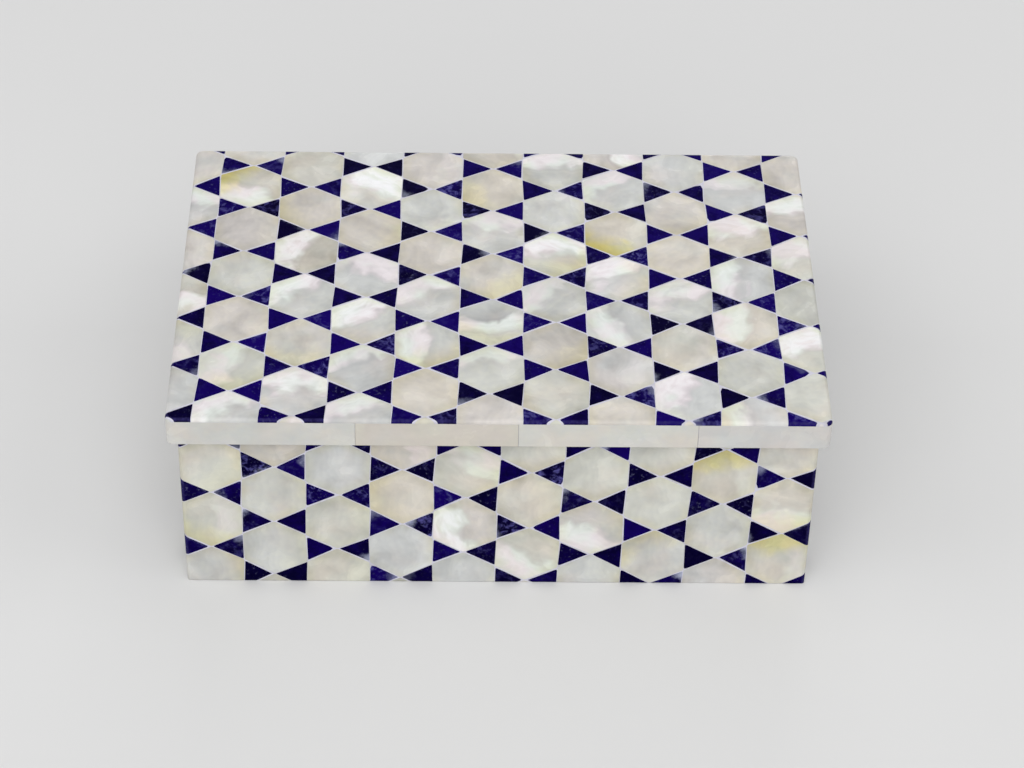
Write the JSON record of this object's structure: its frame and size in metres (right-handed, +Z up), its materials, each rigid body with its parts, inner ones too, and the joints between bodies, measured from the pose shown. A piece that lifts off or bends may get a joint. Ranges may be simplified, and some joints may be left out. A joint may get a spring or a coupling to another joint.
{
  "type": "jewelry box",
  "caption": "Low rectangular marble box with a lift-off lid, faced all round with pale mother-of-pearl hexagons and dark blue triangles between them.",
  "frame": {"origin": "the middle of the underside, on the surface that the box stands on", "axes": "+Z up, +X along the long side, the front long wall faces -Y"},
  "size_m": [0.1524, 0.104, 0.0531],
  "materials": {
    "marble": "white marble, honed and lightly polished",
    "pearl": "polished mother-of-pearl, off-white to pale grey-green with a soft shimmer",
    "edge_pearl": "polished mother-of-pearl, beige-pink and greenish-white",
    "lapis": "polished dark blue stone with pale flecks"
  },
  "bodies": {
    "root": {"box_body": "marble", "lid_slab": "marble", "lid_top_pearl": "pearl", "front_pearl": "pearl", "back_pearl": "pearl", "left_pearl": "pearl", "right_pearl": "pearl", "lid_top_lapis": "lapis", "front_lapis": "lapis", "back_lapis": "lapis", "left_lapis": "lapis", "right_lapis": "lapis", "lid_edge_front_1": "edge_pearl", "lid_edge_front_2": "edge_pearl", "lid_edge_front_3": "edge_pearl", "lid_edge_front_4": "edge_pearl", "lid_edge_back_1": "edge_pearl", "lid_edge_back_2": "edge_pearl", "lid_edge_back_3": "edge_pearl", "lid_edge_back_4": "edge_pearl", "lid_edge_left_1": "edge_pearl", "lid_edge_left_2": "edge_pearl", "lid_edge_left_3": "edge_pearl", "lid_edge_right_1": "edge_pearl", "lid_edge_right_2": "edge_pearl", "lid_edge_right_3": "edge_pearl"}
  },
  "joints": []
}
